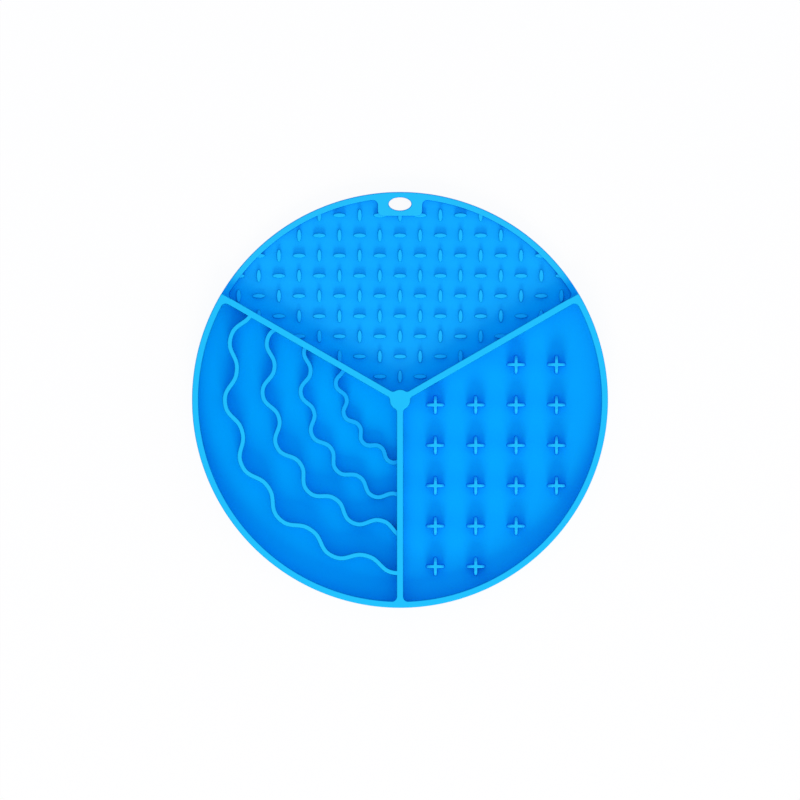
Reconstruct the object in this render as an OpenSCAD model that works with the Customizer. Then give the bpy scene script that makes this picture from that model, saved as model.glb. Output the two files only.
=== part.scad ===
// Round silicone feeding mat with three trays: oval studs, wavy ribs and cross pegs.
// The underside lies on z = 0 with the mat's axis at the origin, and the hang tab is at +Y.

/* [Mat] */
// Outside diameter of the mat
mat_d = 206; // [180:1:240]
// Width of the rim
rim_w = 3; // [2:0.5:5]
// Thickness of the floor
floor_t = 2; // [1.5:0.25:4]
// Height of the high rim, hub and dividers above the floor
wall_h = 8; // [6:0.5:14]
// Height of the low rim and the hang tab above the floor
low_wall_h = 2.5; // [1.5:0.25:5]
// Radius of the rounded corners of the trays
corner_r = 2.5; // [1:0.25:4]

/* [Dividers] */
// Angle between the two back dividers, over which the lick tray opens
lick_angle = 120; // [90:5:150]
// Thickness of the dividers
divider_w = 3; // [2:0.25:5]
// Diameter of the centre hub
hub_d = 10; // [8:0.5:16]
// Radius of the fillets between the hub and the dividers
hub_fillet = 2; // [1:0.25:4]

/* [Hang tab] */
// Width of the tab
tab_w = 22; // [18:0.5:30]
// How far the tab reaches in from the rim
tab_reach = 8.8; // [7:0.2:14]
// Radius of the tab's free corners
tab_r = 2.5; // [1:0.25:4]
// Length of the oval hang hole
hole_l = 11.2; // [8:0.2:14]
// Height of the oval hang hole
hole_h = 6.5; // [5:0.1:8]
// Material between the hang hole and the mat's edge
hole_edge = 2.65; // [2:0.05:4]

/* [Oval studs] */
// Length of a stud
stud_l = 6; // [4:0.25:8]
// Width of a stud
stud_w = 2; // [1.5:0.25:3]
// Height of a stud above the floor
stud_h = 2; // [1:0.25:4]
// Distance between neighbouring studs
stud_pitch = 10; // [9:0.5:16]
// Offset of the stud grid from the mat's centre
stud_offset = 1.5; // [0:0.25:4]
// Shortest piece of a stud that is kept where a wall cuts it
stud_keep = 1.4; // [1:0.1:3]

/* [Cross pegs] */
// Span of a cross
cross_span = 9.2; // [7:0.2:12]
// Span of the flat top of a cross
cross_top = 4; // [3:0.2:6]
// How far down the rounding of an arm reaches
cross_drop = 4; // [2:0.5:4]
// Thickness of a cross arm
cross_w = 1.5; // [1:0.1:3]
// Height of a cross above the floor
cross_h = 7.5; // [5:0.5:10]
// Distance between neighbouring crosses
cross_pitch = 20; // [16:1:30]
// Offset of the first cross from the mat's centre, to the right and up
cross_offset = 17.5; // [12:0.5:24]
// Clear floor around a cross
cross_clear = 2; // [1:0.5:4]

/* [Wave ribs] */
// Thickness of a rib
rib_w = 2; // [1.5:0.25:3]
// Mean radius of the inner rib
rib_r = 45; // [38:1:50]
// Distance between neighbouring ribs
rib_pitch = 15; // [12:0.5:16]
// Waves in a full turn
rib_waves = 18; // [8:1:24]
// How much lower each rib is than the next one out
rib_drop = 1.2; // [0:0.1:1.6]
// Height of the waves, from the inner rib to the outer one
wave_h = [2.1, 2.6, 3.15, 3.15]; // [1:0.05:4]
// Centre of the inner rib
rib_at_1 = [15, 12]; // [0:0.5:20]
// Centre of the second rib
rib_at_2 = [13, 9]; // [0:0.5:20]
// Centre of the third rib
rib_at_3 = [9.6, 9.8]; // [0:0.2:20]
// Centre of the outer rib
rib_at_4 = [5.9, 6.9]; // [0:0.1:20]

/* [Hidden] */
$fn = 96;
mat_r = mat_d / 2;
in_r = mat_r - rim_w;
half_w = divider_w / 2;
far = 2 * mat_d;
// Sides of a rounded corner, of one wave of a rib and of the hang hole
arc_n = 12;
wave_n = 16;
hole_n = 48;
// How far a fillet runs on into the wall that it meets
blend = 0.02;
// Plain rim kept beside the tab's fillets
run_out = 1;

// The front divider runs away from the tab, and the two back ones lie evenly beside the tab
tab_dir = 90;
front_a = tab_dir + 180;
right_a = tab_dir - lick_angle / 2;
left_a = tab_dir + lick_angle / 2;
wave_dir = (left_a + front_a) / 2;
wave_angle = front_a - left_a;

// Centre of the fillet between a divider and the rim, along and across the divider
corner_v = half_w + corner_r;
corner_u = sqrt((in_r - corner_r + blend) ^ 2 - corner_v ^ 2);
// Line of the step from the high rim to the low rim, which is the right divider's back face
step_foot = half_w * [-sin(right_a), cos(right_a)];
step_far = step_foot + far * [cos(right_a), sin(right_a)];
// Centre of the fillet between a divider and the hub
hub_v = half_w + hub_fillet;
hub_u = sqrt((hub_d / 2 + hub_fillet - blend) ^ 2 - hub_v ^ 2);
// Centre of the fillet between the tab and the rim
tab_u = tab_w / 2 + corner_r;
tab_v = sqrt((in_r - corner_r + blend) ^ 2 - tab_u ^ 2);
tab_a = atan2(tab_v, tab_u);
tab_end_a = tab_a - run_out / in_r * 180 / PI;
tab_ray = far * [cos(tab_end_a), sin(tab_end_a)];
tab_y = in_r - tab_reach;
hole_y = mat_r - hole_edge - hole_h / 2;

rib_centers = [rib_at_1, rib_at_2, rib_at_3, rib_at_4];
rib_count = len(rib_centers);

// Room between a point and the nearest wall of the lick tray, below zero inside a wall
function lick_room(p) = min(
    in_r - norm(p),
    p.y * cos(right_a) - abs(p.x) * sin(right_a) - half_w,
    max(abs(p.x) - tab_w / 2, tab_y - p.y),
    norm(p) - hub_u
);
// Room between a point and the nearest wall of the cross tray
function cross_room(p) = min(
    in_r - norm(p),
    p.x - half_w,
    p.x * sin(right_a) - p.y * cos(right_a) - half_w,
    norm(p) - hub_u
);

// A stud lies along X where its column and row add up to an even number, and along Y elsewhere
function stud_at(i, k) = [i * stud_pitch, stud_offset + k * stud_pitch];
function lies_flat(i, k) = (i + k) % 2 == 0;
function stud_tip(i, k) = (lies_flat(i, k) ? [1, 0] : [0, 1]) * stud_l / 2;
function stud_room(i, k) = max([for (s = [-1, 0, 1]) lick_room(stud_at(i, k) + s * stud_tip(i, k))]);
grid_n = ceil(mat_r / stud_pitch);
function row_studs(k) = [for (i = [-grid_n : grid_n]) if (stud_room(i, k) >= stud_keep) i];
stud_rows = [for (k = [1 : grid_n]) if (len(row_studs(k)) > 0) k];

// Crosses stand wherever the tray has room for one
function cross_at(i, j) = [cross_offset + i * cross_pitch, cross_offset - j * cross_pitch];
cross_n = ceil(mat_d / cross_pitch);
function column_crosses(i) = [
    for (j = [0 : cross_n]) if (cross_room(cross_at(i, j)) >= cross_span / 2 + cross_clear) j
];
cross_columns = [for (i = [0 : cross_n]) if (len(column_crosses(i)) > 0) i];

floor_color = [0.05, 0.65, 1];
wall_color = [0.14, 0.76, 0.99];
stud_color = [0.11, 0.73, 1];

// Points along an arc
function arc(c, r, a0, a1) = [
    for (i = [0 : arc_n]) let (a = a0 + (a1 - a0) * i / arc_n) c + r * [cos(a), sin(a)]
];
function reversed(points) = [for (i = [len(points) - 1 : -1 : 0]) points[i]];
function mirror_x(points) = [for (p = points) [-p.x, p.y]];
function mirror_y(points) = [for (p = points) [p.x, -p.y]];

// Stands plan shapes on the floor plate
module on_floor(h) {
    translate([0, 0, floor_t]) for (i = [0 : $children - 1]) linear_extrude(h) children(i);
}

// Plan of the rim inside an outline
module rim_part(outline) {
    intersection() {
        difference() {
            circle(mat_r);
            circle(in_r);
        }
        polygon(outline);
    }
}

// Plan of everything between the two dividers beside a tray, out past the rim
module tray_sector(dir, angle) {
    tip = half_w / sin(angle / 2);
    wide = far * sin(angle / 2);
    long = tip + far * cos(angle / 2);
    rotate(dir) polygon([[tip, 0], [long, wide], [far, wide], [far, -wide], [long, -wide]]);
}

// Plan of the fillet between a divider along +X and the rim, on the divider's +Y side
module rim_corner() {
    a = atan2(corner_v, corner_u);
    seat = in_r + rim_w / 2;
    polygon(concat(
        arc([corner_u, corner_v], corner_r, -90, a),
        [seat * [cos(a), sin(a)], [seat, half_w]]
    ));
}

// Right-hand half of the high rim, from the front of the mat to the step
module high_rim() {
    on_floor(wall_h) {
        rim_part([[0, 0], step_foot, step_far, [far, -far], [0, -far]]);
        rotate(right_a) mirror([0, 1]) rim_corner();
        rotate(front_a) rim_corner();
    }
}

// Right-hand half of the low rim, from the step to the tab
module low_rim() {
    on_floor(low_wall_h) {
        rim_part([[0, 0], step_foot, step_far, tab_ray]);
        rotate(right_a) rim_corner();
    }
}

// The hang hole, an ellipse, cut through the floor and the tab
module hang_hole() {
    step = 360 / hole_n;
    translate([0, hole_y, -floor_t]) linear_extrude(3 * floor_t + low_wall_h)
        polygon([for (a = [0 : step : 360 - step]) [hole_l / 2 * cos(a), hole_h / 2 * sin(a)]]);
}

// Plan of the tab with its fillets
module tab_plan() {
    seat_y = sqrt((in_r + rim_w / 2) ^ 2 - (tab_w / 2) ^ 2);
    side = concat(
        [[tab_w / 2, seat_y]],
        arc([tab_u, tab_v], corner_r, tab_a, 180),
        arc([tab_w / 2 - tab_r, tab_y + tab_r], tab_r, 0, -90)
    );
    polygon(concat(side, reversed(mirror_x(side))));
}

// Plan of one oval stud, where two equal circles overlap
module stud_plan() {
    r = (stud_l ^ 2 + stud_w ^ 2) / (4 * stud_w);
    intersection() {
        translate([0, r - stud_w / 2]) circle(r);
        translate([0, stud_w / 2 - r]) circle(r);
    }
}

// Plan of the lick tray's open floor
module lick_tray_plan() {
    difference() {
        intersection() {
            circle(in_r);
            tray_sector(tab_dir, lick_angle);
        }
        tab_plan();
        rotate(right_a) rim_corner();
        mirror([1, 0]) rotate(right_a) rim_corner();
        circle(hub_u);
    }
}

// Plan of a rib: a circle that waves in and out, clipped to its tray
module rib_plan(j) {
    r0 = rib_r + (j - 1) * rib_pitch;
    wave = wave_h[j - 1];
    step = 360 / rib_waves / wave_n;
    turns = [for (a = [wave_dir - wave_angle : step : wave_dir + wave_angle]) a];
    slope = rib_waves * wave;
    side = function (off) [
        for (a = turns)
            let (r = r0 + wave * sin(rib_waves * a), s = slope * cos(rib_waves * a))
            let (along = off / norm([r, s]))
            rib_centers[j - 1] + [
                r * cos(a) + along * (r * cos(a) + s * sin(a)),
                r * sin(a) + along * (r * sin(a) - s * cos(a))
            ]
    ];
    difference() {
        intersection() {
            circle(in_r);
            tray_sector(wave_dir, wave_angle);
            polygon(concat(side(rib_w / 2), reversed(side(-rib_w / 2))));
        }
        circle(hub_u);
    }
}

// One bar of a cross, rounded down to both its ends
module cross_bar() {
    round_l = (cross_span - cross_top) / 2;
    end = [
        for (p = arc([0, 0], 1, 0, 90))
            [cross_top / 2 + round_l * p.x, cross_h - cross_drop + cross_drop * p.y]
    ];
    side = concat([[cross_span / 2, 0]], end);
    rotate([90, 0, 0]) linear_extrude(cross_w, center = true)
        polygon(concat(side, reversed(mirror_x(side))));
}

module floor_plate() {
    color(floor_color) difference() {
        cylinder(r = mat_r, h = floor_t);
        hang_hole();
    }
}

module rim_right() {
    color(wall_color) high_rim();
}

module rim_left() {
    color(wall_color) mirror([1, 0, 0]) high_rim();
}

module low_rim_right() {
    color(wall_color) low_rim();
}

module low_rim_left() {
    color(wall_color) mirror([1, 0, 0]) low_rim();
}

module hang_tab() {
    color(wall_color) difference() {
        on_floor(low_wall_h) {
            tab_plan();
            rim_part(concat([[0, 0], tab_ray], mirror_x([tab_ray])));
        }
        hang_hole();
    }
}

module centre_hub() {
    a = atan2(hub_v, hub_u);
    side = arc([hub_u, hub_v], hub_fillet, 180 + a, 270);
    color(wall_color) {
        on_floor(wall_h) circle(hub_d / 2);
        for (turn = [right_a, left_a, front_a])
            on_floor(wall_h) rotate(turn) polygon(concat([[0, 0]], side, reversed(mirror_y(side))));
    }
}

module divider(a) {
    color(wall_color) on_floor(wall_h) intersection() {
        circle(in_r);
        rotate(a) translate([hub_u, -half_w]) square([mat_r, divider_w]);
    }
}

module wave_rib(j) {
    color(wall_color) on_floor(wall_h - (rib_count - j) * rib_drop) rib_plan(j);
}

module oval_row(k) {
    color(stud_color) on_floor(stud_h) intersection() {
        lick_tray_plan();
        for (i = row_studs(k))
            translate(stud_at(i, k)) rotate(lies_flat(i, k) ? 0 : 90) stud_plan();
    }
}

module cross_column(i) {
    color(wall_color) for (j = column_crosses(i))
        translate([cross_at(i, j).x, cross_at(i, j).y, floor_t]) {
            cross_bar();
            rotate(90) cross_bar();
        }
}

floor_plate();
rim_left();
rim_right();
low_rim_left();
low_rim_right();
hang_tab();
centre_hub();
divider(left_a);  // divider_left
divider(right_a);  // divider_right
divider(front_a);  // divider_front
for (j = [1 : rib_count])
    wave_rib(j);
for (n = [1 : len(stud_rows)])
    oval_row(stud_rows[n - 1]);
for (n = [1 : len(cross_columns)])
    cross_column(cross_columns[n - 1]);
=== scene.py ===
"""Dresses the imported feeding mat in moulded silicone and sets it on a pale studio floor."""

import math
from cmath import phase, rect

import bmesh
import bpy
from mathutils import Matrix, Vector


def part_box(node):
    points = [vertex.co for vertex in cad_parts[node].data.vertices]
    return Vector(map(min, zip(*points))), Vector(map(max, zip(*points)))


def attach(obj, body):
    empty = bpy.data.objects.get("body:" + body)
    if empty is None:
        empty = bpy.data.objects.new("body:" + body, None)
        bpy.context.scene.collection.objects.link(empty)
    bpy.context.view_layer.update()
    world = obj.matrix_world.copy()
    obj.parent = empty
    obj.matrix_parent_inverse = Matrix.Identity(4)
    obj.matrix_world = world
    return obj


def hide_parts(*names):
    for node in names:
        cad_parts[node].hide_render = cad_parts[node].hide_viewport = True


bl_info = {
    "name": "Feeding mat",
    "version": (1, 0, 0),
    "blender": (4, 5, 0),
    "location": "View3D > Sidebar > Feeding mat",
    "description": "Moulds the walls, studs, crosses and wavy ribs of a silicone feeding mat",
    "category": "Object",
}

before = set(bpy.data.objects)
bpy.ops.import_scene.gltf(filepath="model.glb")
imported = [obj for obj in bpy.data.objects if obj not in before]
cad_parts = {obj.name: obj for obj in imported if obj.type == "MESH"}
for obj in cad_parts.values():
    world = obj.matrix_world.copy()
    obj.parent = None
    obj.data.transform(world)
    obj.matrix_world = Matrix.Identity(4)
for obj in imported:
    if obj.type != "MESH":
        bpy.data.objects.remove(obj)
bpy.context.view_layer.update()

MM = 0.001
BODY = "root"

# Longest side of a round stretch, and the fewest sides that a round stretch has
ARC_STEP = 1.2 * MM
ARC_MIN = 6
# A hair's breadth, by which a foot goes into the floor and faces keep out of one plane
HAIR = 0.02 * MM
# The flat band beside a rounded edge
INSET = 0.1 * MM
# Points closer than this are one point
TINY = 0.001 * MM
# The overtone that rounds out the bends of a rib's waves, and the points along one wave
OVERTONE = 3
WAVE_POINTS = 24

# Plan places are complex numbers, x + y * 1j
# These turn +X to each divider, and to the middle of the tray with the ribs
RIGHT = rect(1, math.radians(30))
LEFT = rect(1, math.radians(150))
FRONT = rect(1, math.radians(270))
WAVES_WAY = rect(1, math.radians(210))

FLOOR_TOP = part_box("floor_plate")[1].z
WALL_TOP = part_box("centre_hub")[1].z
LOW_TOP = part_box("hang_tab")[1].z


def measured(value):
    """A size read off the frame's mesh, to a tenth of a millimetre."""
    return round(value, 4)


def node_width(node):
    """A node's size along X."""
    low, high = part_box(node)
    return measured(high.x - low.x)


def nodes_named(prefix):
    """The frame's nodes of one family, in order."""
    return sorted(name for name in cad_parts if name.startswith(prefix))


def shade(red, green, blue):
    """A linear colour from its 0 to 255 display values."""
    values = [v / 255 for v in (red, green, blue)]
    return [v / 12.92 if v <= 0.04045 else ((v + 0.055) / 1.055) ** 2.4 for v in values]


def length(name, description, default):
    """A length in metres for a property group."""
    return bpy.props.FloatProperty(
        name=name, description=description, default=default, min=0, precision=5, unit="LENGTH"
    )


def place(name, description, default):
    """A plan position in metres for a property group."""
    return bpy.props.FloatVectorProperty(
        name=name, description=description, default=default, size=2, precision=5, unit="LENGTH"
    )


def colour(name, description, red, green, blue):
    """A colour for a property group, given as its display values."""
    return bpy.props.FloatVectorProperty(
        name=name,
        description=description,
        default=shade(red, green, blue),
        size=3,
        min=0,
        max=1,
        subtype="COLOR",
    )


def angle(name, description, degrees):
    """An angle for a property group."""
    return bpy.props.FloatProperty(
        name=name, description=description, default=math.radians(degrees), subtype="ANGLE"
    )


def amount(name, description, default):
    """A plain number for a property group."""
    return bpy.props.FloatProperty(name=name, description=description, default=default, min=0)


class WallSizes(bpy.types.PropertyGroup):
    """Sizes of the floor, rims, hub and dividers"""

    mat_radius: length("Mat radius", "Radius of the mat", measured(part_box("floor_plate")[1].x))
    inner_radius: length("Inner radius", "Radius inside the rim", measured(-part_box("divider_front")[0].y))
    divider: length("Divider", "Thickness of a divider", measured(2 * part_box("divider_front")[1].x))
    hub_radius: length("Hub radius", "Radius of the centre hub", measured(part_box("centre_hub")[1].y))
    hub_fillet: length("Hub fillet", "Radius between hub and dividers", 2 * MM)
    corner: length("Tray corner", "Radius of a tray's corners in plan", 2.5 * MM)
    step_round: length("Step round", "Plan radius of the step down to the low rim", 0.6 * MM)
    edge: length("Edge round", "Radius of the top edges", 0.25 * MM)
    outer_edge: length("Outer edge round", "Radius of the edges around the mat and the hole", 0.5 * MM)
    foot: length("Foot round", "Radius between a wall and the floor", 0.3 * MM)
    lean: length("Lean", "How much wider a high wall is at its foot, on each side", 0.05 * MM)


class TabSizes(bpy.types.PropertyGroup):
    """Sizes of the hang tab"""

    width: length("Width", "Width of the tab", 22 * MM)
    front: length("Front", "Distance of the tab from the centre", measured(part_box("hang_tab")[0].y))
    corner: length("Corner", "Plan radius of the tab's free corners", 2.5 * MM)
    hole_length: length("Hole length", "Length of the oval hang hole", 11.2 * MM)
    hole_height: length("Hole height", "Height of the oval hang hole", 6.5 * MM)
    hole_edge: length("Hole edge", "Material between the hole and the mat's edge", 2.65 * MM)
    run_out: length("Run-out", "Plain rim beside the tab's fillets", 1 * MM)


class StudSizes(bpy.types.PropertyGroup):
    """Sizes of the oval studs"""

    long: length("Length", "Length of a stud", 6 * MM)
    wide: length("Width", "Width of a stud", 2 * MM)
    pitch: length("Pitch", "Distance between neighbouring studs", 10 * MM)
    offset: length("Offset", "Offset of the stud grid from the centre", 1.5 * MM)
    tip: length("Tip", "Plan radius of a stud's tips", 0.55 * MM)
    edge: length("Edge round", "Radius of the top edge", 0.2 * MM)
    foot: length("Foot round", "Radius between a stud and the floor", 0.3 * MM)
    lean: length("Lean", "How much wider a stud is at its foot, on each side", 0.05 * MM)


class CrossSizes(bpy.types.PropertyGroup):
    """Sizes of the cross pegs"""

    span: length("Span", "Span of a cross", node_width("cross_column_1"))
    top_span: length("Top span", "Span of the flat top of a cross", 4 * MM)
    drop: length("Drop", "How far down the rounding of an arm's tip reaches", 4 * MM)
    arm: length("Arm", "Thickness of a cross arm", 1.5 * MM)
    pitch: length("Pitch", "Distance between neighbouring crosses", 20 * MM)
    crotch: length("Crotch", "Plan radius between two arms", 0.3 * MM)
    edge: length("Edge round", "Radius of the top edge", 0.25 * MM)
    foot: length("Foot round", "Radius between a cross and the floor", 0.3 * MM)


class RibSizes(bpy.types.PropertyGroup):
    """Sizes of the wavy ribs, from the inner one to the outer one"""

    thick: length("Thickness", "Thickness of a rib", 2 * MM)
    radius: length("Radius", "Mean radius of the inner rib", 45 * MM)
    pitch: length("Pitch", "Distance between neighbouring ribs", 15 * MM)
    waves: bpy.props.IntProperty(name="Waves", description="Waves in a full turn", default=18, min=1)
    fullness: amount("Fullness", "Share of the overtone that rounds out the waves' bends", 0.06)
    wave_1: length("Wave 1", "Height of the inner rib's waves", 2.1 * MM)
    wave_2: length("Wave 2", "Height of the second rib's waves", 2.6 * MM)
    wave_3: length("Wave 3", "Height of the third rib's waves", 3.15 * MM)
    wave_4: length("Wave 4", "Height of the outer rib's waves", 3.15 * MM)
    centre_1: place("Centre 1", "Centre of the inner rib", (15 * MM, 12 * MM))
    centre_2: place("Centre 2", "Centre of the second rib", (13 * MM, 9 * MM))
    centre_3: place("Centre 3", "Centre of the third rib", (9.6 * MM, 9.8 * MM))
    centre_4: place("Centre 4", "Centre of the outer rib", (5.9 * MM, 6.9 * MM))
    sunk: length("Sunk", "How far a rib's end goes into a divider", 1.2 * MM)


class Colours(bpy.types.PropertyGroup):
    """Colours of the silicone, with painted light on the tops and painted shade on the sides, the low parts
    and behind the back dividers
    """

    lick_floor: colour("Lick floor", "The floor of the lick tray", 19, 176, 255)
    # Painted shade: the lick tray's floor in the shadow behind its dividers
    lick_painted_shade: colour("Lick edge", "The floor of the lick tray beside its dividers", 1, 174, 255)
    right_floor: colour("Right floor", "The floor of the tray with the crosses", 7, 172, 255)
    left_floor: colour("Left floor", "The floor of the tray with the ribs", 0, 171, 254)
    # Painted shade: the sides are darker than the tops, as if in shade, and darkest on the low rim and the
    # tab
    shaded_flank: colour("Flank", "The sides of the floor, walls, ribs and studs", 4, 158, 225)
    low_shaded_flank: colour("Low flank", "The sides of the low rim and the tab", 4, 140, 225)
    # Painted shade: the crosses and the ribs are painted darker the lower they reach, as if in shade
    cross_shaded_foot: colour("Cross foot", "The foot of the crosses", 0, 116, 229)
    rib_shaded_foot: colour("Rib foot", "The colour that a rib's top would have at the floor", 0, 150, 248)
    # Painted light: the tops are lighter than the floors and sides, as if lit from above
    crown: colour("Crown", "The top of the high walls", 34, 194, 247)
    low_lit_crown: colour("Low crown", "The top of the low rim and the tab", 37, 193, 245)
    # Painted shade: the low rim's top in the shadow beside the steps
    step_painted_shade: colour("Step crown", "The top of the low rim at the steps", 7, 168, 250)
    # Painted light: the studs' tops are lighter than the floor around them
    stud_lit_crown: colour("Stud crown", "The top of the oval studs", 32, 189, 253)
    # Painted shade: the studs' tops in the shadow behind the dividers
    stud_painted_shade: colour("Stud edge", "The top of the oval studs beside the dividers", 17, 182, 255)
    # How deep the top's painted-light colour reaches down its edge
    lid: length("Lid", "How far down a top's colour reaches", 0.15 * MM)
    # Near and far bound the painted shade behind the back dividers
    near: length("Near", "How far behind the back dividers the deeper colours are full", 5.5 * MM)
    far: length("Far", "How far behind the back dividers the deeper colours end", 15.5 * MM)


class Finish(bpy.types.PropertyGroup):
    """Surface of the moulded silicone"""

    cloud_scale: amount("Cloud scale", "How close together the soft clouds in the colour lie", 60)
    cloud_tint: amount("Cloud tint", "How much the clouds change the colour", 0.04)
    cloud_rough: amount("Cloud roughness", "How much rougher the clouds make the surface", 0.1)
    grain_scale: amount("Grain scale", "How close together the fine grains lie", 2600)
    grain_tint: amount("Grain tint", "How much the grains change the colour", 0.02)
    grain_rough: amount("Grain roughness", "How much rougher the grains make the surface", 0.08)
    grain_bump: amount("Grain bump", "How strongly the grains stand out", 0.12)
    grain_height: length("Grain height", "Height of the grains", 0.05 * MM)
    roughness: amount("Roughness", "Roughness between clouds and grains", 0.48)
    refraction: amount("Refraction", "Index of refraction of silicone", 1.41)
    shine: amount("Shine", "Strength of the reflections", 0.06)
    shine_colour: colour("Shine colour", "Tint of the reflections", 89, 188, 255)


class StageSettings(bpy.types.PropertyGroup):
    """The studio: light, floor and camera"""

    sky: amount("Sky", "Light from all round, as a share of full light", 0.708)
    key: amount("Key", "Light from the main lamp on a level surface, as a share of full light", 0.25)
    key_height: angle("Key height", "Height of the main lamp above the horizon", 26)
    key_turn: angle("Key turn", "Turn of the main lamp from the mat's front towards its right", 0)
    key_tall: length("Key face", "Height of the main lamp's face", 1.4)
    side: amount("Side", "Light from the side lamp on a level surface, as a share of full light", 0.042)
    side_height: angle("Side height", "Height of the side lamp above the horizon", 15)
    side_turn: angle("Side turn", "Turn of the side lamp from the mat's front towards its right", 75)
    side_tall: length("Side face", "Height of the side lamp's face", 0.85)
    lamp_away: length("Lamp distance", "Distance of the lamps", 4)
    lamp_wide: length("Lamp width", "Width of the lamps", 2)
    warmth: amount("Warmth", "How much redder and less blue the main lamp is; the sky evens it out", 0.42)
    blue: amount("Blue", "How much more blue the sky has than white light needs", 0.11)
    lens: amount("Lens", "Focal length of the camera in millimetres", 800)
    view_wide: length("View width", "Width that the camera takes in at the top of the walls", 396.15 * MM)
    view_front: length("View shift", "How far to the front of the centre the camera hangs", 0.08 * MM)
    sight: length("Sight", "How far the camera sees", 20)
    floor_wide: length("Floor width", "Width of the studio floor", 8)
    paper: amount("Paper", "How white the studio floor is", 0.95)
    glow: amount("Glow", "How far the studio floor's own shades are washed out in the picture", 0.93)


class Wire:
    """A node's output, so that maths on it reads as Python and adds its own Math nodes."""

    def __init__(self, tree, socket=None):
        self.tree = tree
        self.socket = socket

    def node(self, kind, settings=None, inputs=None, output=0):
        """Adds a node, sets it up, then fills its sockets with values or with other wires."""
        made = self.tree.nodes.new(kind)
        for key, value in (settings or {}).items():
            setattr(made, key, value)
        for key, value in (inputs or {}).items():
            if isinstance(value, Wire):
                self.tree.links.new(value.socket, made.inputs[key])
            else:
                made.inputs[key].default_value = value
        return Wire(self.tree, made.outputs[output] if made.outputs else None)

    def other(self, output):
        """Another output of the same node."""
        return Wire(self.tree, self.socket.node.outputs[output])

    def math(self, operation, *values):
        """A Math node on this wire and any other values."""
        inputs = dict(enumerate((self, *values)))
        return self.node("ShaderNodeMath", {"operation": operation}, inputs)

    def __add__(self, value):
        return self.math("ADD", value)

    __radd__ = __add__

    def __sub__(self, value):
        return self.math("SUBTRACT", value)

    def __rsub__(self, value):
        return self.node("ShaderNodeMath", {"operation": "SUBTRACT"}, {0: value, 1: self})

    def __mul__(self, value):
        return self.math("MULTIPLY", value)

    __rmul__ = __mul__


class Outline:
    """The plan of a wall, walked with the wall on the left.

    Each station has its place, its way out of the wall and its profile, a list of (offset, height) pairs.
    Where the wall runs on into a neighbour its end is square: that side is flat and has no profile.
    """

    def __init__(self):
        self.stations = []
        self.square_sides = set()

    def add(self, spot, outward, profile):
        """Adds a station, unless the last one is already there."""
        last = len(self.stations) - 1
        if last >= 0 and last not in self.square_sides and abs(self.stations[last][0] - spot) < TINY:
            return
        self.stations.append((spot, outward, profile))

    def arc(self, centre, radius, start, end, profile, turn=1, hollow=False, sides=None):
        """Adds a round stretch between two angles; a hollow one curves around the open side."""
        if sides is None:
            sides = max(ARC_MIN, math.ceil(abs(end - start) * radius / ARC_STEP))
        for i in range(sides + 1):
            way = rect(1, start + (end - start) * i / sides) * turn
            self.add(centre * turn + radius * way, -way if hollow else way, profile)

    def line(self, start, end, profile, turn=1):
        """Adds a straight stretch."""
        outward = (end - start) / abs(end - start) * -1j * turn
        self.add(start * turn, outward, profile)
        self.add(end * turn, outward, profile)

    def square_end(self, profile, *corners):
        """Goes on with a square end, over the given corners, to the next stretch."""
        self.square_sides.add(len(self.stations) - 1)
        for corner in corners:
            self.stations.append((corner, 0, profile))
            self.square_sides.add(len(self.stations) - 1)

    def supported(self):
        """The stations with one more close to each square end, which keeps the shading true up to it."""
        stations = self.stations
        if abs(stations[0][0] - stations[-1][0]) < TINY:
            stations = stations[:-1]
        count = len(stations)
        made = []
        for i, (spot, outward, profile) in enumerate(stations):
            ends_run = i in self.square_sides
            starts_run = (i - 1) % count in self.square_sides
            before = stations[i - 1][0]
            after = stations[(i + 1) % count][0]
            if ends_run and not starts_run:
                made.append((spot + HAIR * (before - spot) / abs(before - spot), outward, profile, False))
            made.append((spot, outward, profile, ends_run))
            if starts_run and not ends_run:
                made.append((spot + HAIR * (after - spot) / abs(after - spot), outward, profile, False))
        return made

    def loop(self):
        """The outline's rings of points from the bottom up, and which of its sides are square."""
        stations = self.supported()
        rings = []
        for level in range(len(stations[0][2])):
            ring = []
            for spot, outward, profile, square in stations:
                offset, height = profile[level]
                ring.append((spot + offset * outward, height))
            rings.append(ring)
        return rings, [square for spot, outward, profile, square in stations]


def quarter(sides):
    """The angles of a quarter turn."""
    return [math.pi / 2 * i / sides for i in range(sides + 1)]


def moulded_face(top, foot, lean, edge, sides=4):
    """Profile of a moulded wall: foot fillet, leaning face, rounded top edge and a flat band."""
    low = [
        (lean + foot * (1 - math.sin(a)), FLOOR_TOP + foot * (1 - math.cos(a))) for a in quarter(sides)
    ]
    return [(lean + foot + INSET, FLOOR_TOP - HAIR)] + low + rounded_edge(top, edge, sides)


def plain_face(top, edge, sides=4):
    """Profile of an upright outside face with as many levels as a moulded one."""
    rise = (top - edge - FLOOR_TOP) / (sides + 1)
    low = [(0, FLOOR_TOP + rise * i) for i in range(sides + 1)]
    return [(0, FLOOR_TOP - HAIR)] + low + rounded_edge(top, edge, sides)


def rounded_edge(top, edge, sides):
    """The upper part of a profile: a rounded edge and a flat band inside it."""
    bend = [(edge * (math.cos(a) - 1), top + edge * (math.sin(a) - 1)) for a in quarter(sides)]
    return bend + [(-edge - INSET, top)]


def new_object(name, data):
    """Links a new object at the origin to the scene."""
    made = bpy.data.objects.new(name, data)
    bpy.context.scene.collection.objects.link(made)
    return made


def cap(bm, rings):
    """Closes one or more rings of vertices with a flat face."""
    edges = [bm.edges.get((a, b)) for ring in rings for a, b in zip(ring, ring[1:] + ring[:1])]
    bmesh.ops.triangle_fill(bm, use_beauty=True, use_dissolve=False, edges=edges)


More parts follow.
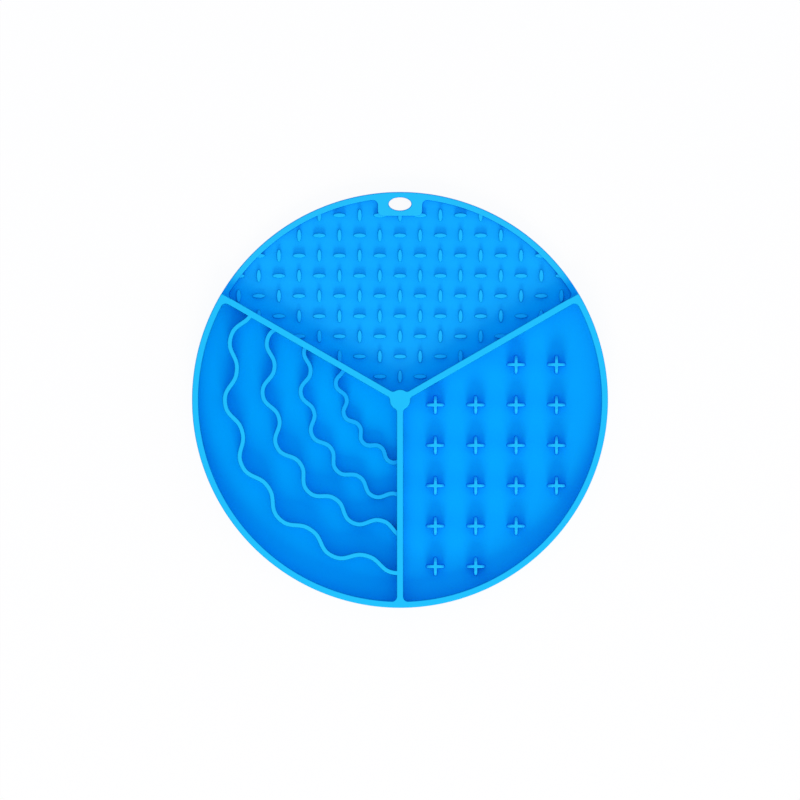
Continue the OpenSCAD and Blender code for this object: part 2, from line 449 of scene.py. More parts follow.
def moulded(name, loops, flip=1):
    """Skins loops of rings into one closed mesh; flip -1 mirrors it left to right."""
    bm = bmesh.new()
    bottoms = []
    tops = []
    for points, squares in loops:
        rings = [[bm.verts.new((flip * p.real, p.imag, z)) for p, z in ring] for ring in points]
        for low, high in zip(rings, rings[1:]):
            for i, square in enumerate(squares):
                j = (i + 1) % len(squares)
                face = bm.faces.new((low[i], low[j], high[j], high[i]))
                face.smooth = not square
        bottoms.append(rings[0])
        tops.append(rings[-1])
    cap(bm, bottoms)
    cap(bm, tops)
    bmesh.ops.recalc_face_normals(bm, faces=bm.faces)
    mesh = bpy.data.meshes.new(name)
    bm.to_mesh(mesh)
    bm.free()
    return new_object(name, mesh)


def take_over(piece, node):
    """Makes a finished piece stand for its CAD node."""
    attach(piece, BODY)
    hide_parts(node)


def piece_name(node):
    """The name of the moulded piece that stands for a node."""
    return f"silicone_{node}"


def mould_node(node, finish, loops, flip=1):
    """Moulds the piece that stands for a node."""
    piece = moulded(piece_name(node), loops, flip)
    piece.data.materials.append(finish)
    take_over(piece, node)


def tray_corner(walls):
    """Centre of the fillet between a divider along +X and the rim, on the divider's left."""
    across = walls.divider / 2 + walls.corner
    return complex(math.sqrt((walls.inner_radius - walls.corner) ** 2 - across**2), across)


def hub_corner(walls):
    """Centre of the fillet between the hub and a divider along +X, on the divider's left."""
    across = walls.divider / 2 + walls.hub_fillet
    return complex(math.sqrt((walls.hub_radius + walls.hub_fillet) ** 2 - across**2), across)


def tab_corner(walls, tab):
    """Centre of the fillet between the tab's right side and the rim."""
    across = tab.width / 2 + walls.corner
    return complex(across, math.sqrt((walls.inner_radius - walls.corner) ** 2 - across**2))


def tab_end(walls, tab):
    """Angle at which the low rim gives way to the tab."""
    return phase(tab_corner(walls, tab)) - tab.run_out / walls.inner_radius


def high_rim_outline(walls):
    """Right half of the high rim, from the front divider to the step beside the right divider."""
    half = walls.divider / 2
    corner = tray_corner(walls)
    swing = phase(corner)
    inside = moulded_face(WALL_TOP, walls.foot, walls.lean, walls.edge)
    outside = plain_face(WALL_TOP, walls.outer_edge)
    step_across = half - walls.step_round
    step_along = math.sqrt((walls.mat_radius - walls.step_round) ** 2 - step_across**2)
    step = complex(step_along, step_across)
    right = phase(RIGHT)
    front = phase(FRONT)
    outline = Outline()
    outline.arc(0, walls.mat_radius, front, right + phase(step), outside)
    outline.arc(step, walls.step_round, phase(step), math.pi / 2, outside, turn=RIGHT)
    outline.line(complex(step_along, half), complex(corner.real, half), outside, turn=RIGHT)
    outline.square_end(outside)
    outline.arc(corner.conjugate(), walls.corner, math.pi / 2, -swing, inside, turn=RIGHT, hollow=True)
    outline.arc(0, walls.inner_radius, right - swing, front + swing, inside, hollow=True)
    outline.arc(corner, walls.corner, swing, -math.pi / 2, inside, turn=FRONT, hollow=True)
    outline.square_end(outside, corner.real * FRONT)
    return outline


def low_rim_outline(walls, tab):
    """Right half of the low rim, from inside the step to the tab."""
    half = walls.divider / 2
    corner = tray_corner(walls)
    swing = phase(corner)
    inside = moulded_face(LOW_TOP, walls.foot, 0, walls.edge)
    outside = plain_face(LOW_TOP, walls.outer_edge)
    behind_step = half - walls.step_round
    right = phase(RIGHT)
    start = right + math.asin(behind_step / walls.mat_radius)
    end = tab_end(walls, tab)
    outline = Outline()
    outline.arc(0, walls.mat_radius, start, end, outside)
    outline.square_end(outside)
    outline.arc(0, walls.inner_radius, end, right + swing, inside, hollow=True)
    outline.arc(corner, walls.corner, swing, -math.pi / 2, inside, turn=RIGHT, hollow=True)
    outline.square_end(outside, complex(corner.real, behind_step) * RIGHT)
    return outline


def hole_outline(walls, tab, profile):
    """The oval hang hole."""
    centre = walls.mat_radius - tab.hole_edge - tab.hole_height / 2
    half_long = tab.hole_length / 2
    half_high = tab.hole_height / 2
    sides = 64
    outline = Outline()
    for i in range(sides):
        a = -math.tau * i / sides
        outward = -complex(half_high * math.cos(a), half_long * math.sin(a))
        spot = complex(half_long * math.cos(a), centre + half_high * math.sin(a))
        outline.add(spot, outward / abs(outward), profile)
    return outline


def tab_outline(walls, tab):
    """The hang tab with its stretch of rim and its fillets."""
    inside = moulded_face(LOW_TOP, walls.foot, 0, walls.edge)
    outside = plain_face(LOW_TOP, walls.outer_edge)
    half = tab.width / 2
    fillet = tab_corner(walls, tab)
    swing = phase(fillet)
    end = tab_end(walls, tab)
    nose = complex(half - tab.corner, tab.front + tab.corner)
    left_nose = complex(-nose.real, nose.imag)
    left_fillet = complex(-fillet.real, fillet.imag)
    outline = Outline()
    outline.arc(0, walls.mat_radius, end, math.pi - end, outside)
    outline.square_end(outside)
    outline.arc(0, walls.inner_radius, math.pi - end, math.pi - swing, inside, hollow=True)
    outline.arc(left_fillet, walls.corner, math.pi - swing, 0, inside, hollow=True)
    outline.line(complex(-half, fillet.imag), complex(-half, nose.imag), inside)
    outline.arc(left_nose, tab.corner, math.pi, 1.5 * math.pi, inside)
    outline.arc(nose, tab.corner, 1.5 * math.pi, 2 * math.pi, inside)
    outline.line(complex(half, nose.imag), complex(half, fillet.imag), inside)
    outline.arc(fillet, walls.corner, math.pi, swing, inside, hollow=True)
    outline.arc(0, walls.inner_radius, swing, end, inside, hollow=True)
    outline.square_end(outside)
    return outline


def hub_outline(walls):
    """The round hub with the fillets that lead into the three dividers."""
    corner = hub_corner(walls)
    swing = phase(corner)
    gap = math.tau / 3
    fillet = walls.hub_fillet
    face = moulded_face(WALL_TOP, walls.foot, walls.lean, walls.edge)
    outline = Outline()
    for turn in (RIGHT, LEFT, FRONT):
        outline.arc(0, walls.hub_radius, swing - gap, -swing, face, turn=turn)
        outline.arc(
            corner.conjugate(), fillet, math.pi - swing, math.pi / 2, face, turn=turn, hollow=True
        )
        outline.square_end(face)
        outline.arc(corner, fillet, 1.5 * math.pi, math.pi + swing, face, turn=turn, hollow=True)
    return outline


def divider_outline(walls, turn):
    """A straight divider between the hub's fillets and the rim's."""
    half = walls.divider / 2
    near = hub_corner(walls).real
    far = tray_corner(walls).real
    face = moulded_face(WALL_TOP, walls.foot, walls.lean, walls.edge)
    outline = Outline()
    outline.line(complex(near, -half), complex(far, -half), face, turn=turn)
    outline.square_end(face)
    outline.line(complex(far, half), complex(near, half), face, turn=turn)
    outline.square_end(face)
    return outline


def floor_profile(edge, sides=4):
    """Profile of the floor's side: rounded under edge, upright face and a square top."""
    bend = [(edge * (math.cos(a) - 1), edge * (1 - math.sin(a))) for a in reversed(quarter(sides))]
    top = [(0, FLOOR_TOP - INSET), (0, FLOOR_TOP), (-INSET, FLOOR_TOP)]
    return [(-edge - INSET, 0)] + bend + top


def floor_outline(walls):
    """The round floor."""
    outline = Outline()
    outline.arc(0, walls.mat_radius, 0, math.tau, floor_profile(walls.outer_edge))
    return outline


def stud_outline(studs, top):
    """One oval stud along X: two shallow arcs that meet in small round tips."""
    half_long = studs.long / 2
    half_wide = studs.wide / 2
    tip = studs.tip
    bow = (half_long**2 + half_wide**2 - 2 * half_long * tip) / (2 * (half_wide - tip))
    side = math.atan2(bow - half_wide, half_long - tip)
    face = moulded_face(top, studs.foot, studs.lean, studs.edge, sides=2)
    outline = Outline()
    for turn in (1, -1):
        outline.arc(half_long - tip, tip, -side, side, face, turn=turn, sides=3)
        outline.arc((half_wide - bow) * 1j, bow, side, math.pi - side, face, turn=turn, sides=6)
    return outline


def cross_ring(half, reach, crotch, height):
    """One level of a cross: four arms with round tips, and a small hollow between neighbours."""
    tip_sides = 6
    crotch_sides = 3
    ring = []
    for turn in (1, 1j, -1, -1j):
        for i in range(tip_sides + 1):
            ring.append((reach - half + rect(half, math.pi * (i / tip_sides - 0.5))) * turn)
        for i in range(crotch_sides + 1):
            corner = complex(half + crotch, half + crotch)
            ring.append((corner + rect(crotch, math.pi * (1.5 - 0.5 * i / crotch_sides))) * turn)
    return [(spot, height) for spot in ring]


def cross_loop(crosses, top):
    """One cross peg: upright sides, arms that round down to their tips, and a fillet at the foot."""
    foot_sides = 3
    arm_sides = 8
    half = crosses.arm / 2
    reach = crosses.span / 2
    shoulder = reach - crosses.top_span / 2
    spread = crosses.foot + INSET
    rings = [cross_ring(half + spread, reach + spread, TINY, FLOOR_TOP - HAIR)]
    for a in quarter(foot_sides):
        flare = crosses.foot * (1 - math.sin(a))
        height = FLOOR_TOP + crosses.foot * (1 - math.cos(a))
        rings.append(cross_ring(half + flare, reach + flare, crosses.crotch - flare + TINY, height))
    for a in quarter(arm_sides):
        height = top - crosses.drop * (1 - math.sin(a))
        bend = max(0, 1 - (top - height) / crosses.edge)
        inward = crosses.edge * (1 - math.sqrt(1 - bend**2))
        tip = reach - shoulder * (1 - math.cos(a))
        rings.append(cross_ring(half - inward, tip, crosses.crotch + inward, height))
    inward = crosses.edge + INSET
    rings.append(cross_ring(half - inward, reach - shoulder - INSET, crosses.crotch + inward, top))
    return rings, [False] * len(rings[0])


def node_tree(name, sockets):
    """A new geometry tree with the given inputs, and a wire of its input node."""
    tree = bpy.data.node_groups.new(name, "GeometryNodeTree")
    for label, kind in sockets.items():
        tree.interface.new_socket(name=label, in_out="INPUT", socket_type=f"NodeSocket{kind}")
    tree.interface.new_socket(name="Geometry", in_out="OUTPUT", socket_type="NodeSocketGeometry")
    return tree, Wire(tree).node("NodeGroupInput")


def finish_tree(given, shape):
    """Ends a geometry tree: real faces, smooth, in the given material."""
    real = given.node("GeometryNodeRealizeInstances", inputs={"Geometry": shape})
    painted = given.node(
        "GeometryNodeSetMaterial", inputs={"Geometry": real, "Material": given.other("Material")}
    )
    given.node("NodeGroupOutput", inputs={"Geometry": painted})


def row_tree():
    """Tree that repeats a shape in a straight row, every second one turned."""
    tree, given = node_tree(
        "row_of_pegs",
        {
            "Shape": "Object",
            "Start": "Vector",
            "Step": "Vector",
            "Count": "Int",
            "First": "Int",
            "Turn": "Float",
            "Material": "Material",
        },
    )
    spots = given.node(
        "GeometryNodeMeshLine",
        inputs={
            "Count": given.other("Count"),
            "Start Location": given.other("Start"),
            "Offset": given.other("Step"),
        },
    )
    odd = (given.node("GeometryNodeInputIndex") + given.other("First")).math("MODULO", 2)
    euler = given.node("ShaderNodeCombineXYZ", inputs={"Z": odd * given.other("Turn")})
    shape = given.node(
        "GeometryNodeObjectInfo", inputs={"Object": given.other("Shape"), "As Instance": True}
    )
    row = given.node(
        "GeometryNodeInstanceOnPoints",
        inputs={
            "Points": spots,
            "Instance": shape.other("Geometry"),
            "Rotation": given.node("FunctionNodeEulerToRotation", inputs={"Euler": euler}),
        },
    )
    finish_tree(given, row)
    return tree


def rib_tree():
    """Tree that sweeps a wall section along a circle that waves in and out."""
    tree, given = node_tree(
        "wavy_rib",
        {
            "Section": "Object",
            "Centre": "Vector",
            "Radius": "Float",
            "Wave height": "Float",
            "Waves": "Float",
            "Fullness": "Float",
            "Start angle": "Float",
            "End angle": "Float",
            "Points": "Int",
            "Material": "Material",
        },
    )
    line = given.node(
        "GeometryNodeResampleCurve",
        inputs={"Curve": given.node("GeometryNodeCurvePrimitiveLine"), "Count": given.other("Points")},
    )
    along = given.node("GeometryNodeSplineParameter")
    start = given.other("Start angle")
    turn = start + (given.other("End angle") - start) * along
    swing = turn * given.other("Waves")
    ripple = swing.math("SINE") + given.other("Fullness") * (swing * OVERTONE).math("SINE")
    radius = given.other("Radius") + given.other("Wave height") * ripple
    swept = {"X": radius * turn.math("COSINE"), "Y": radius * turn.math("SINE")}
    spot = given.node("ShaderNodeCombineXYZ", inputs=swept)
    spot = given.node(
        "ShaderNodeVectorMath", {"operation": "ADD"}, {0: spot, 1: given.other("Centre")}
    )
    path = given.node("GeometryNodeSetPosition", inputs={"Geometry": line, "Position": spot})
    level = given.node("GeometryNodeSetCurveNormal", {"mode": "Z_UP"}, {"Curve": path})
    section = given.node("GeometryNodeObjectInfo", inputs={"Object": given.other("Section")})
    wall = given.node(
        "GeometryNodeCurveToMesh",
        inputs={"Curve": level, "Profile Curve": section.other("Geometry"), "Fill Caps": True},
    )
    smooth = given.node("GeometryNodeSetShadeSmooth", inputs={"Geometry": wall})
    finish_tree(given, smooth)
    return tree


def grown(name, tree, values):
    """A mesh object made by a geometry tree with the given inputs."""
    piece = new_object(name, bpy.data.meshes.new(name))
    modifier = piece.modifiers.new("Shape", "NODES")
    modifier.node_group = tree
    for item in tree.interface.items_tree:
        if item.in_out == "INPUT":
            modifier[item.identifier] = values[item.name]
    graph = bpy.context.evaluated_depsgraph_get()
    mesh = bpy.data.meshes.new_from_object(piece.evaluated_get(graph))
    mesh.name = name
    piece.modifiers.remove(modifier)
    piece.data = mesh
    return piece


def section_curve(ribs, walls, top):
    """The closed cross-section of a rib as a flat curve, with its height along -Y."""
    half = ribs.thick / 2
    face = moulded_face(top, walls.foot, walls.lean, walls.edge)
    right = [(half + offset, height) for offset, height in face]
    left = [(-x, z) for x, z in reversed(right)]
    curve = bpy.data.curves.new("rib_section", "CURVE")
    spline = curve.splines.new("POLY")
    corners = list(reversed(right + left))
    spline.points.add(len(corners) - 1)
    for point, (x, z) in zip(spline.points, corners):
        point.co = (x, -z, 0, 1)
    spline.use_cyclic_u = True
    return new_object("rib_section", curve)


def rib_spot(ribs, number, turn):
    """A rib's centre line at an angle about its own centre."""
    centre = complex(*getattr(ribs, f"centre_{number}"))
    radius = ribs.radius + (number - 1) * ribs.pitch
    wave = getattr(ribs, f"wave_{number}")
    swing = ribs.waves * turn
    ripple = math.sin(swing) + ribs.fullness * math.sin(OVERTONE * swing)
    return centre + rect(radius + wave * ripple, turn)


def rib_ends(ribs, walls, number):
    """The angles at which a rib ends, sunk into the left divider and the front one."""
    half = walls.divider / 2
    middle = phase(WAVES_WAY) + math.tau
    stride = math.radians(0.05)
    ends = []
    for way, divider in ((-1, LEFT), (1, FRONT)):
        turn = middle
        room = ribs.radius
        while room > -ribs.sunk:
            turn += way * stride
            room = -way * (rib_spot(ribs, number, turn) / divider).imag - half
        ends.append(turn)
    return ends


def tuck_into_walls(mesh, walls, tab):
    """Pulls back stud ends that would come out on the far side of the wall that they run into."""
    rim_middle = (walls.inner_radius + walls.mat_radius) / 2
    tab_back = tab.front + walls.divider / 2
    for vertex in mesh.vertices:
        spot = complex(vertex.co.x, vertex.co.y)
        if abs(spot) > rim_middle:
            spot *= rim_middle / abs(spot)
        for divider, side in ((RIGHT, 1), (LEFT, -1)):
            local = spot / divider
            if local.real > 0 and local.imag * side < 0:
                spot = local.real * divider
        if abs(spot.real) < tab.width / 2:
            spot = complex(spot.real, min(spot.imag, tab_back))
        vertex.co.x = spot.real
        vertex.co.y = spot.imag


def blank_nodes(data):
    """Clears the nodes of a material or a world, and gives a wire to start from."""
    data.use_nodes = True
    data.node_tree.nodes.clear()
    return Wire(data.node_tree)


def blend(start, factor, first, second):
    """A mix of two colours, each a plain one or a wire."""
    # A Mix node takes colours in at its sockets 6 and 7, and gives theirs out at 2
    colours = [given if isinstance(given, Wire) else (*given, 1) for given in (first, second)]
    inputs = {"Factor": factor, 6: colours[0], 7: colours[1]}
    return start.node("ShaderNodeMix", {"data_type": "RGBA"}, inputs, output=2)


def behind_dividers(spot):
    """How far a place lies behind the nearer of the two back dividers."""
    x = spot.node("ShaderNodeSeparateXYZ", inputs={"Vector": spot})
    y = x.other("Y")
    past_right = y * RIGHT.real - x * RIGHT.imag
    past_left = y * -LEFT.real + x * LEFT.imag
    return past_right.math("MINIMUM", past_left)


def painted_shade_fade(behind, colours, shaded_colour, plain):
    """Painted shade beside the back dividers, where their shadow falls, that turns into the plain colour
    further behind them.
    """
    away = behind.node(
        "ShaderNodeMapRange",
        {"interpolation_type": "SMOOTHSTEP"},
        {"Value": behind, "From Min": colours.near, "From Max": colours.far},
    )
    return blend(behind, away, shaded_colour, plain)


def floor_colour(spot, colours):
    """The floor's colour: one for each of the three trays between the dividers, with painted shade on the
    lick tray's floor behind its dividers.
    """
    x = spot.node("ShaderNodeSeparateXYZ", inputs={"Vector": spot})
    behind = behind_dividers(spot)
    front = blend(spot, x.math("GREATER_THAN", 0.0), colours.left_floor, colours.right_floor)
    lick = painted_shade_fade(behind, colours, colours.lick_painted_shade, colours.lick_floor)
    return blend(spot, behind.math("GREATER_THAN", 0.0), front, lick)


def speckle(spot, scale, crisp):
    """Noise over a piece, closer with a higher scale and sharper the crisper it is."""
    inputs = {"Vector": spot, "Scale": scale, "Detail": 2.0, "Roughness": crisp}
    return spot.node("ShaderNodeTexNoise", inputs=inputs)


def silicone(name, bottom, top, low, high):
    """Soft matt silicone that turns from its low colour to its high one between two levels, painted darker
    low down as if shaded and lighter high up as if lit.

    The high colour is a plain one, or a function that makes it from the place on the piece.
    """
    finish = bpy.context.scene.mat_finish
    material = bpy.data.materials.new(name)
    start = blank_nodes(material)
    spot = start.node("ShaderNodeTexCoord", output="Object")
    height = start.node("ShaderNodeSeparateXYZ", inputs={"Vector": spot}, output="Z")
    rise = start.node(
        "ShaderNodeMapRange", inputs={"Value": height, "From Min": bottom, "From Max": top}
    )
    cloud = speckle(spot, finish.cloud_scale, crisp=0.5)
    grain = speckle(spot, finish.grain_scale, crisp=0.6)
    body = blend(start, rise, low, high(spot) if callable(high) else high)
    value = 1 + finish.cloud_tint * (cloud - 0.5) + finish.grain_tint * (grain - 0.5)
    tint = start.node("ShaderNodeHueSaturation", inputs={"Value": value, "Color": body})
    bump = start.node(
        "ShaderNodeBump",
        inputs={"Strength": finish.grain_bump, "Distance": finish.grain_height, "Height": grain},
    )
    surface = start.node(
        "ShaderNodeBsdfPrincipled",
        inputs={
            "Base Color": tint,
            "Roughness": finish.roughness + finish.cloud_rough * cloud + finish.grain_rough * grain,
            "IOR": finish.refraction,
            "Specular IOR Level": finish.shine,
            "Specular Tint": (*finish.shine_colour, 1),
            "Normal": bump,
        },
    )
    start.node("ShaderNodeOutputMaterial", inputs={"Surface": surface})
    return material


def lidded(name, top, side, lid):
    """Silicone with a darker painted-shade colour on its sides and a lighter painted-light colour on its
    top.
    """
    return silicone(name, top - bpy.context.scene.mat_colours.lid, top, side, lid)


class FEEDING_MAT_OT_floor(bpy.types.Operator):
    """Moulds the round floor with the hang hole"""

    bl_idname = "feeding_mat.floor"
    bl_label = "Floor"

    def execute(self, context):
        walls = context.scene.mat_walls
        colours = context.scene.mat_colours
        hole = hole_outline(walls, context.scene.mat_tab, floor_profile(walls.outer_edge))
        # Painted shade on the floor's side
        finish = lidded(
            "silicone_floor", FLOOR_TOP, colours.shaded_flank, lambda spot: floor_colour(spot, colours)
        )
        mould_node("floor_plate", finish, [floor_outline(walls).loop(), hole.loop()])
        return {"FINISHED"}


class FEEDING_MAT_OT_high_walls(bpy.types.Operator):
    """Moulds the high rim, the hub and the three dividers"""

    bl_idname = "feeding_mat.high_walls"
    bl_label = "High walls"

    def execute(self, context):
        walls = context.scene.mat_walls
        colours = context.scene.mat_colours
        # Painted light on the tops and painted shade on the sides
        finish = lidded("silicone_high_walls", WALL_TOP, colours.shaded_flank, colours.crown)
        rim = high_rim_outline(walls).loop()
        mould_node("rim_right", finish, [rim])
        mould_node("rim_left", finish, [rim], flip=-1)
        mould_node("centre_hub", finish, [hub_outline(walls).loop()])
        for node, turn in (("divider_right", RIGHT), ("divider_left", LEFT), ("divider_front", FRONT)):
            mould_node(node, finish, [divider_outline(walls, turn).loop()])
        return {"FINISHED"}


class FEEDING_MAT_OT_low_rim(bpy.types.Operator):
    """Moulds the low rim and the hang tab"""

    bl_idname = "feeding_mat.low_rim"
    bl_label = "Low rim and hang tab"

    def execute(self, context):
        walls = context.scene.mat_walls
        tab = context.scene.mat_tab
        colours = context.scene.mat_colours
        # Painted light on the top, painted shade on the sides and on the top beside the steps
        finish = lidded(
            "silicone_low_rim",
            LOW_TOP,
            colours.low_shaded_flank,
            lambda spot: painted_shade_fade(behind_dividers(spot), colours, colours.step_painted_shade, colours.low_lit_crown),
        )
        hole = hole_outline(walls, tab, plain_face(LOW_TOP, walls.outer_edge))
        rim = low_rim_outline(walls, tab).loop()
        mould_node("low_rim_right", finish, [rim])
        mould_node("low_rim_left", finish, [rim], flip=-1)
        mould_node("hang_tab", finish, [tab_outline(walls, tab).loop(), hole.loop()])
        return {"FINISHED"}


class FEEDING_MAT_OT_studs(bpy.types.Operator):
    """Repeats the oval studs in rows across the lick tray"""

    bl_idname = "feeding_mat.studs"
    bl_label = "Oval studs"

    def execute(self, context):
        walls = context.scene.mat_walls
        studs = context.scene.mat_studs
        colours = context.scene.mat_colours
        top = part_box("oval_row_1")[1].z
        # Painted light on the studs' tops, painted shade on their sides and on the tops behind the dividers
        finish = lidded(
            "silicone_studs",
            top,
            colours.shaded_flank,
            lambda spot: painted_shade_fade(behind_dividers(spot), colours, colours.stud_painted_shade, colours.stud_lit_crown),
        )
        shape = moulded("stud_shape", [stud_outline(studs, top).loop()])
        tree = row_tree()
        for number, node in enumerate(nodes_named("oval_row_"), start=1):
            reach = round((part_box(node)[1].x - studs.wide / 2) / studs.pitch)
            values = {
                "Shape": shape,
                "Start": (-reach * studs.pitch, studs.offset + number * studs.pitch, 0.0),
                "Step": (studs.pitch, 0.0, 0.0),
                "Count": 2 * reach + 1,
                "First": (reach + number) % 2,
                "Turn": math.pi / 2,
                "Material": finish,
            }
            piece = grown(piece_name(node), tree, values)
            tuck_into_walls(piece.data, walls, context.scene.mat_tab)
            take_over(piece, node)
        bpy.data.objects.remove(shape)
        return {"FINISHED"}


class FEEDING_MAT_OT_crosses(bpy.types.Operator):
    """Repeats the cross pegs in columns across the right tray"""

    bl_idname = "feeding_mat.crosses"
    bl_label = "Cross pegs"

    def execute(self, context):
        crosses = context.scene.mat_crosses
        colours = context.scene.mat_colours
        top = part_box("cross_column_1")[1].z
        # Painted shade: the crosses darken from their lit tops down to their foot
        finish = silicone("silicone_crosses", FLOOR_TOP, WALL_TOP, colours.cross_shaded_foot, colours.crown)
        shape = moulded("cross_shape", [cross_loop(crosses, top)])
        tree = row_tree()
        for node in nodes_named("cross_column_"):
            low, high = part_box(node)
            gaps = round((high.y - low.y) / crosses.pitch)
            run = gaps * crosses.pitch
            values = {
                "Shape": shape,
                "Start": (measured((low.x + high.x) / 2), measured((low.y + high.y) / 2) + run / 2, 0.0),
                "Step": (0.0, -crosses.pitch, 0.0),
                "Count": gaps + 1,
                "First": 0,
                "Turn": 0.0,
                "Material": finish,
            }
            take_over(grown(piece_name(node), tree, values), node)
        bpy.data.objects.remove(shape)
        return {"FINISHED"}


class FEEDING_MAT_OT_ribs(bpy.types.Operator):
    """Sweeps the wavy ribs across the left tray"""

    bl_idname = "feeding_mat.ribs"
    bl_label = "Wavy ribs"

    def execute(self, context):
        walls = context.scene.mat_walls
        ribs = context.scene.mat_ribs
        colours = context.scene.mat_colours
        tree = rib_tree()
        for number, node in enumerate(nodes_named("wave_rib_"), start=1):
            # The outer rib is as high as the walls, so every rib stays a hair lower
            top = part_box(node)[1].z - HAIR
            section = section_curve(ribs, walls, top)
            start, end = rib_ends(ribs, walls, number)
            # Painted shade: a lower rib gets a darker top, as if more in shade
            rise = (top - FLOOR_TOP) / (WALL_TOP - FLOOR_TOP)
            crown = Vector(colours.rib_shaded_foot).lerp(Vector(colours.crown), rise)
            finish = lidded(f"silicone_rib_{number}", top, colours.shaded_flank, crown)
            values = {
                "Section": section,
                "Centre": (*getattr(ribs, f"centre_{number}"), 0.0),
                "Radius": ribs.radius + (number - 1) * ribs.pitch,
                "Wave height": getattr(ribs, f"wave_{number}"),
                "Waves": float(ribs.waves),
                "Fullness": ribs.fullness,
                "Start angle": start,
                "End angle": end,
                "Points": math.ceil((end - start) / math.tau * ribs.waves * WAVE_POINTS),
                "Material": finish,
            }
            take_over(grown(piece_name(node), tree, values), node)
            bpy.data.objects.remove(section)
        return {"FINISHED"}


def seen_rays(start):
    """One for rays that show the background: from the camera, or mirrored, or through glass."""
    rays = start.node("ShaderNodeLightPath", output="Is Camera Ray")
    mirrored = rays.math("MAXIMUM", rays.other("Is Glossy Ray"))
    return mirrored.math("MAXIMUM", rays.other("Is Transmission Ray"))


def lay_studio_floor(stage):
    """A wide white floor that keeps a faint shadow of the mat."""
    half = stage.floor_wide / 2
    bm = bmesh.new()
    corners = [(-half, -half), (half, -half), (half, half), (-half, half)]
    bm.faces.new([bm.verts.new((x, y, -HAIR)) for x, y in corners])
    mesh = bpy.data.meshes.new("studio_floor")
    bm.to_mesh(mesh)
    bm.free()
    material = bpy.data.materials.new("studio_floor")
    start = blank_nodes(material)
    paper = start.node("ShaderNodeBsdfDiffuse", inputs={"Color": [stage.paper] * 3 + [1]})
    glow = start.node("ShaderNodeEmission", inputs={"Color": (1, 1, 1, 1), "Strength": 1.0})
    surface = start.node(
        "ShaderNodeMixShader", inputs={0: seen_rays(start) * stage.glow, 1: paper, 2: glow}
    )
    start.node("ShaderNodeOutputMaterial", inputs={"Surface": surface})
    mesh.materials.append(material)
    new_object("studio_floor", mesh)


def light_sky(scene, stage):
    """Soft light from all round, cool as far as the key lamp is warm, white where the camera sees it."""
    world = bpy.data.worlds.new("studio_sky")
    start = blank_nodes(world)
    seen = seen_rays(start)
    level = stage.sky + (1 - stage.sky) * seen
    cool = stage.warmth * stage.key / stage.sky
    tint = blend(start, seen, (1 - cool, 1, 1 + cool + stage.blue), (1, 1, 1))
    sky = start.node("ShaderNodeBackground", inputs={"Color": tint, "Strength": level})
    start.node("ShaderNodeOutputWorld", inputs={"Surface": sky})
    scene.world = world


def hang_lamp(name, share, turn, height, tall, stage):
    """A soft lamp that faces the mat and gives level ground its share of full light."""
    lamp = bpy.data.lights.new(name, "AREA")
    lamp.shape = "RECTANGLE"
    lamp.size = stage.lamp_wide
    lamp.size_y = tall
    lamp.energy = share * (math.pi * stage.lamp_away) ** 2 / math.sin(height)
    flat = stage.lamp_away * math.cos(height)
    made = new_object(name, lamp)
    made.location = (
        flat * math.sin(turn),
        -flat * math.cos(turn),
        stage.lamp_away * math.sin(height),
    )
    made.rotation_euler = (-Vector(made.location)).to_track_quat("-Z", "Y").to_euler()
    return lamp


def aim_camera(scene, stage):
    """A camera straight above the mat, with the hang tab at the top of the picture."""
    camera = bpy.data.cameras.new("camera")
    camera.lens = stage.lens
    camera.clip_end = stage.sight
    away = stage.view_wide * stage.lens / camera.sensor_width
    made = new_object("camera", camera)
    made.location = (0, -stage.view_front, WALL_TOP + away)
    scene.camera = made


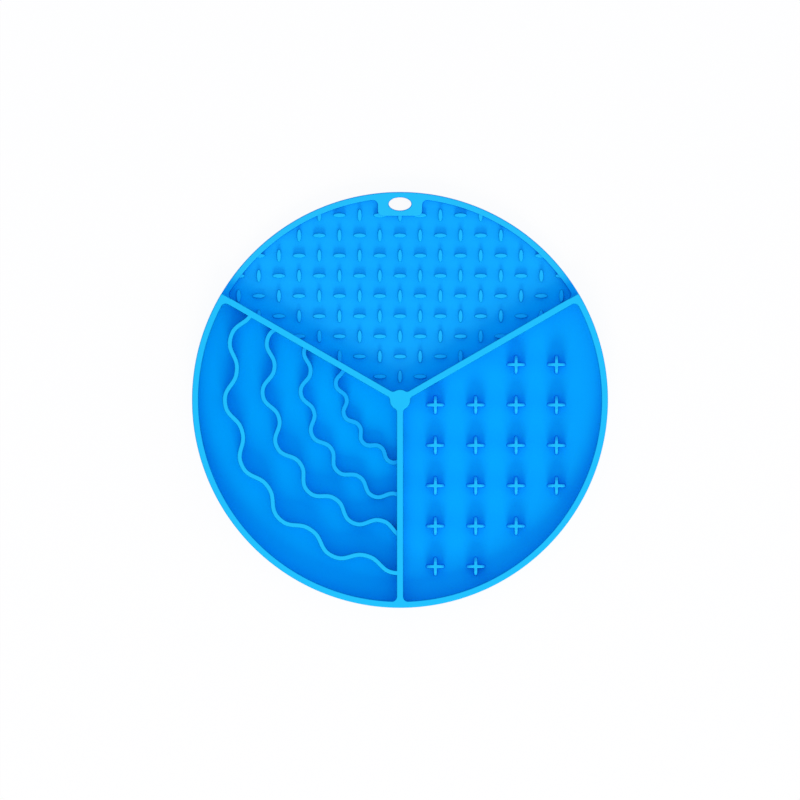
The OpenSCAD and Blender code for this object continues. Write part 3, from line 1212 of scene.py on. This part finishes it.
class FEEDING_MAT_OT_stage(bpy.types.Operator):
    """Sets up the pale floor, the light and the camera"""

    bl_idname = "feeding_mat.stage"
    bl_label = "Stage"

    def execute(self, context):
        stage = context.scene.mat_stage
        context.scene.view_settings.view_transform = "Standard"
        lay_studio_floor(stage)
        light_sky(context.scene, stage)
        key = hang_lamp("key_lamp", stage.key, stage.key_turn, stage.key_height, stage.key_tall, stage)
        key.color = (1 + stage.warmth, 1, 1 - stage.warmth)
        hang_lamp("side_lamp", stage.side, stage.side_turn, stage.side_height, stage.side_tall, stage)
        aim_camera(context.scene, stage)
        return {"FINISHED"}


class FEEDING_MAT_PT_panel(bpy.types.Panel):
    """Lists the steps that make the mat"""

    bl_idname = "FEEDING_MAT_PT_panel"
    bl_label = "Feeding mat"
    bl_space_type = "VIEW_3D"
    bl_region_type = "UI"
    bl_category = "Feeding mat"

    def draw(self, context):
        for operator in OPERATORS:
            self.layout.operator(operator.bl_idname)
        for name in GROUPS:
            self.layout.separator()
            group = getattr(context.scene, name)
            for key in group.__annotations__:
                self.layout.prop(group, key)


OPERATORS = (
    FEEDING_MAT_OT_floor,
    FEEDING_MAT_OT_high_walls,
    FEEDING_MAT_OT_low_rim,
    FEEDING_MAT_OT_studs,
    FEEDING_MAT_OT_crosses,
    FEEDING_MAT_OT_ribs,
    FEEDING_MAT_OT_stage,
)
GROUPS = {
    "mat_walls": WallSizes,
    "mat_tab": TabSizes,
    "mat_studs": StudSizes,
    "mat_crosses": CrossSizes,
    "mat_ribs": RibSizes,
    "mat_colours": Colours,
    "mat_finish": Finish,
    "mat_stage": StageSettings,
}


def register():
    """Adds the settings, the steps and the panel."""
    for name, group in GROUPS.items():
        bpy.utils.register_class(group)
        setattr(bpy.types.Scene, name, bpy.props.PointerProperty(type=group))
    for operator in OPERATORS:
        bpy.utils.register_class(operator)
    bpy.utils.register_class(FEEDING_MAT_PT_panel)


def unregister():
    """Takes the panel, the steps and the settings away again."""
    bpy.utils.unregister_class(FEEDING_MAT_PT_panel)
    for operator in reversed(OPERATORS):
        bpy.utils.unregister_class(operator)
    for name, group in reversed(GROUPS.items()):
        delattr(bpy.types.Scene, name)
        bpy.utils.unregister_class(group)


def main():
    """Makes the mat and its stage."""
    register()
    bpy.ops.feeding_mat.floor()
    bpy.ops.feeding_mat.high_walls()
    bpy.ops.feeding_mat.low_rim()
    bpy.ops.feeding_mat.studs()
    bpy.ops.feeding_mat.crosses()
    bpy.ops.feeding_mat.ribs()
    bpy.ops.feeding_mat.stage()


if __name__ == "__main__":
    main()
